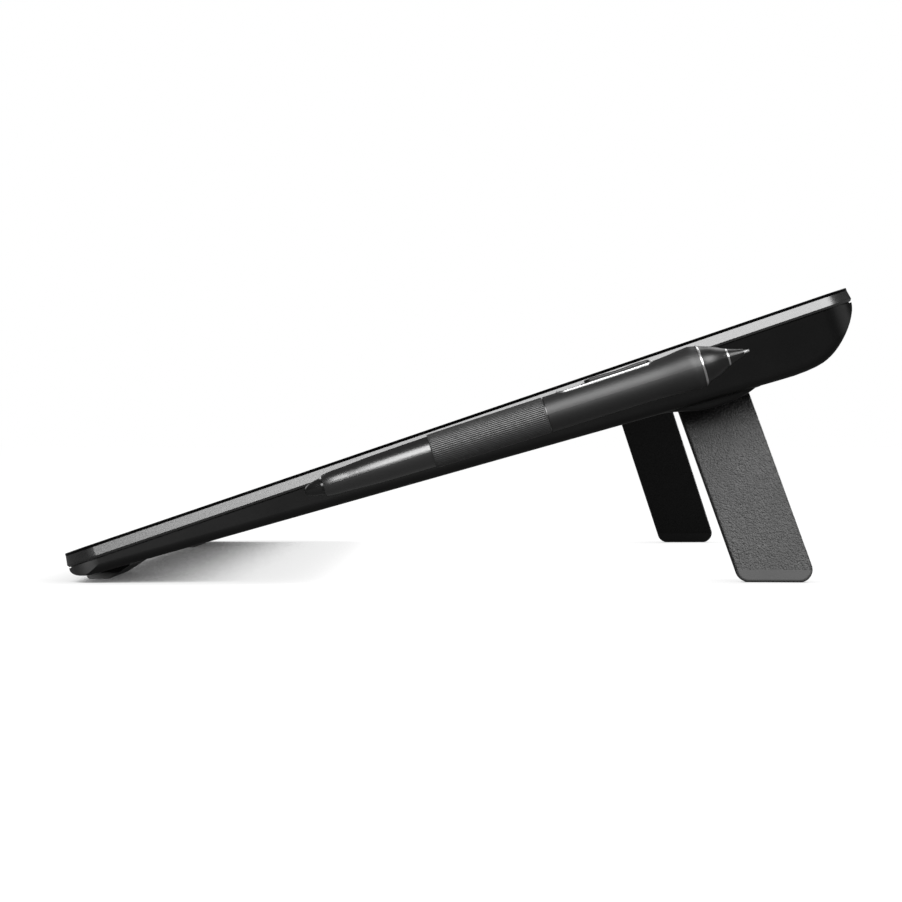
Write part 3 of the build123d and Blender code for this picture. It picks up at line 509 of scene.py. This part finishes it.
world = bpy.data.worlds.new("studio_world")
scene.world = world
world.use_nodes = True
wn = world.node_tree
wn.nodes.clear()
wo = wn.nodes.new("ShaderNodeOutputWorld")
lp = wn.nodes.new("ShaderNodeLightPath")
mixw = wn.nodes.new("ShaderNodeMixShader")
bg_cam = wn.nodes.new("ShaderNodeBackground")
bg_cam.inputs["Color"].default_value = (1, 1, 1, 1)
bg_cam.inputs["Strength"].default_value = 1.0
bg_lit = wn.nodes.new("ShaderNodeBackground")
tcw = wn.nodes.new("ShaderNodeTexCoord")
sepw = wn.nodes.new("ShaderNodeSeparateXYZ")
wn.links.new(tcw.outputs["Generated"], sepw.inputs["Vector"])
rz = wn.nodes.new("ShaderNodeValToRGB")
rz.color_ramp.elements[0].position = 0.0
rz.color_ramp.elements[0].color = (0.10, 0.10, 0.10, 1)
rz.color_ramp.elements[1].position = 1.0
rz.color_ramp.elements[1].color = (0.85, 0.85, 0.85, 1)
wn.links.new(sepw.outputs["Z"], rz.inputs["Fac"])
wn.links.new(rz.outputs["Color"], bg_lit.inputs["Color"])
bg_lit.inputs["Strength"].default_value = 0.13
wn.links.new(lp.outputs["Is Camera Ray"], mixw.inputs["Fac"])
wn.links.new(bg_lit.outputs["Background"], mixw.inputs[1])
wn.links.new(bg_cam.outputs["Background"], mixw.inputs[2])
wn.links.new(mixw.outputs["Shader"], wo.inputs["Surface"])


def area(name, pos, target, sx, sy, power, spread=180.0):
    l = bpy.data.lights.new(name, "AREA")
    l.shape = "RECTANGLE"
    l.size, l.size_y = sx, sy
    l.energy = power
    l.spread = math.radians(spread)
    o = bpy.data.objects.new(name, l)
    scene.collection.objects.link(o)
    o.location = pos
    o.rotation_euler = (Vector(target) - Vector(pos)).to_track_quat("-Z", "Y").to_euler()
    o.visible_camera = False
    return o


# large softbox above the camera on the pen side, from about 17 to 60 degrees up
d = 1.7
e0 = math.radians(34)
key = area("key_softbox", (0.2 + d * math.cos(e0), 0.30, 0.05 + d * math.sin(e0)), (0.2, 0.12, 0.05), 1.85, 1.32, 66.0)
area("back_left_fill", (-0.9, 0.75, 1.5), (0.0, 0.0, 0.05), 1.3, 1.0, 10.0)
area("front_fill", (-1.0, -1.5, 0.9), (0.0, 0.0, 0.05), 1.6, 1.0, 8.0)
# a card low at the front corner lights the shell, which is flagged off from the key
card = area("shell_card", (0.70, -0.80, 0.24), (0.2, -0.1, 0.04), 0.8, 0.5, 23.0)
flagged = ["rear_housing", "front_feet", "leg_hinge_cover_right", "leg_hinge_cover_left"]
only_shell = bpy.data.collections.new("card_receivers")
not_shell = bpy.data.collections.new("key_receivers")
for n in flagged:
    only_shell.objects.link(nodes[n])
for n in flagged + ["front_glass", "glass_gasket", "leg_left", "leg_foot_left"]:
    not_shell.objects.link(nodes[n])
card.light_linking.receiver_collection = only_shell
key.light_linking.receiver_collection = not_shell
# the pen casts no hard shadow from the card, and a lamp behind lights the back edge and the legs
pass_pen = bpy.data.collections.new("card_blockers")
for n, o in nodes.items():
    if n.startswith("pen_"):
        pass_pen.objects.link(o)
pass_pen.objects.link(loop)
card.light_linking.blocker_collection = pass_pen
back = area("back_card", (-1.0, 1.5, 0.55), (0.0, 0.1, 0.06), 1.7, 0.9, 30.0)
back2 = area("back_shell_card", (0.7, 1.7, 0.8), (0.0, 0.1, 0.06), 1.8, 1.0, 8.0)
not_rim = bpy.data.collections.new("back_receivers")
for n in ("bezel_frame", "front_glass", "glass_gasket", "rear_housing"):
    not_rim.objects.link(nodes[n])
back.light_linking.receiver_collection = not_rim
back2.light_linking.receiver_collection = only_shell
for col in (not_shell, pass_pen, not_rim):
    for c in col.collection_objects:
        c.light_linking.link_state = "EXCLUDE"

# -------------------------------------------------------------------- camera
cam = bpy.data.cameras.new("camera")
cam.lens = 2790.0 * 36.0 / 902.0
cam.sensor_width = 36.0
cam.clip_start = 0.01
cam.clip_end = 300.0
co = bpy.data.objects.new("camera", cam)
scene.collection.objects.link(co)
cx = ORG.x + 1.160
cy = ORG.y + 0.1401
co.location = (cx, cy, 0.0468)
yaw, pitch = math.atan2(19.0, 2790.0), math.atan2(5.0, 2790.0)
fwd = Vector((-math.cos(yaw), -math.sin(yaw), -math.sin(pitch)))
co.rotation_euler = fwd.to_track_quat("-Z", "Y").to_euler()
scene.camera = co
scene.view_settings.view_transform = "Standard"
